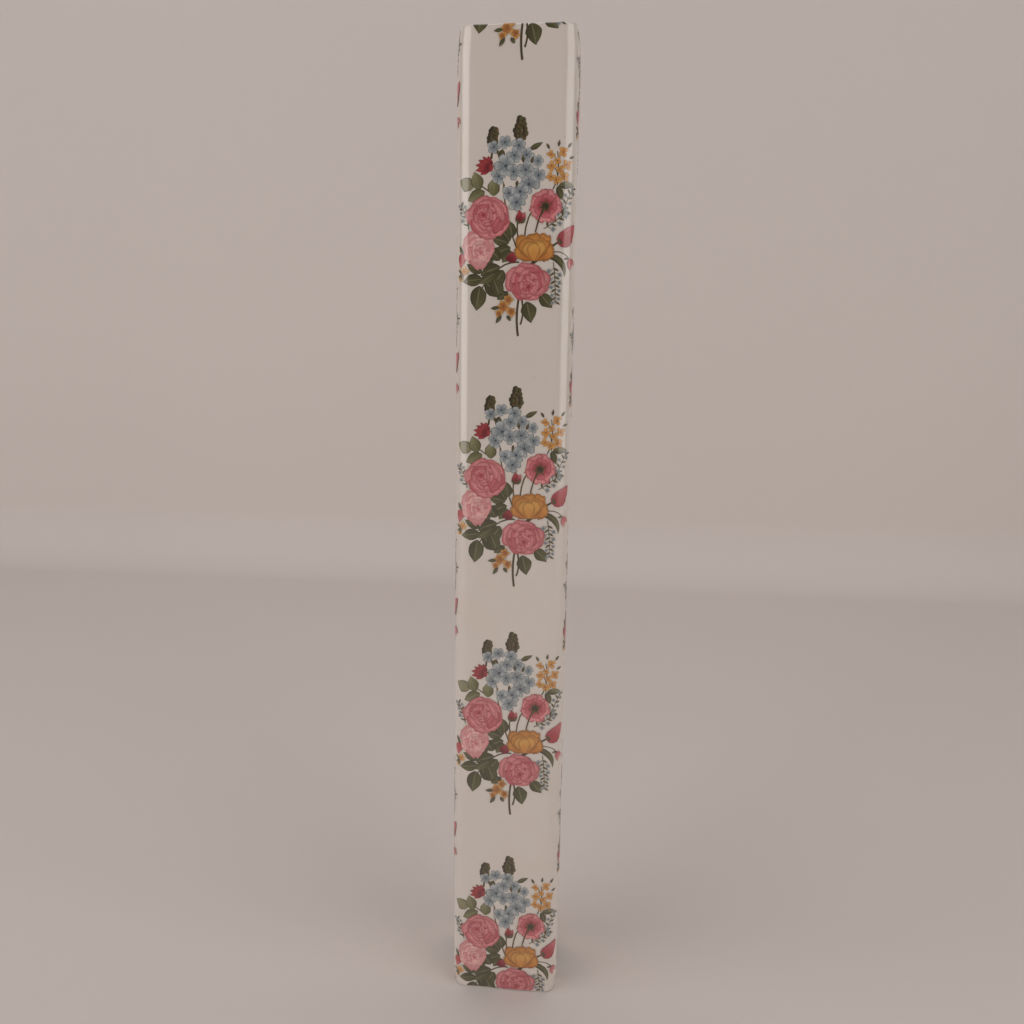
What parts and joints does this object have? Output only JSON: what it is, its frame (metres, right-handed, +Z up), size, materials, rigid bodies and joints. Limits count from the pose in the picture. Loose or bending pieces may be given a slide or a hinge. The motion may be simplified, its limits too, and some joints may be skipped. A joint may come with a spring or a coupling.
{
  "type": "talcum powder tin",
  "caption": "Tall slim rounded-square powder tin with an all-over flower print, recessed ends and a sprinkler top whose shutter disc turns on a rivet.",
  "frame": {"origin": "centre of the base, on the surface the tin stands on", "axes": "+Z up along the tin's length, -Y towards the viewer, +X to the viewer's right"},
  "size_m": [0.028, 0.028, 0.245],
  "materials": {
    "printed_tinplate": "satin enamel with a lithographed flower print",
    "bare_tinplate": "plain tinplate, dulled",
    "lacquered_tinplate": "ivory lacquer, worn at the edge",
    "rivet_brass": "dulled brass",
    "spring_steel": "dull steel",
    "lining_compound": "matt",
    "solder": "dull grey"
  },
  "bodies": {
    "tin": {"body_shell": "printed_tinplate", "seam_solder": "solder", "bottom_end": "bare_tinplate", "bottom_seal": "lining_compound", "top_end": "bare_tinplate", "top_seal": "lining_compound", "sifter_plate": "bare_tinplate", "pivot_rivet": "rivet_brass", "spring_washer": "spring_steel", "clinch_washer": "spring_steel"},
    "shutter": {"shutter_disc": "lacquered_tinplate"}
  },
  "joints": [
    {"name": "shutter_turn", "type": "hinge", "parent": "tin", "child": "shutter", "pos_m": [0, 0, 0.2424], "axis": [0, 0, 1], "range_deg": [0, 30]}
  ]
}
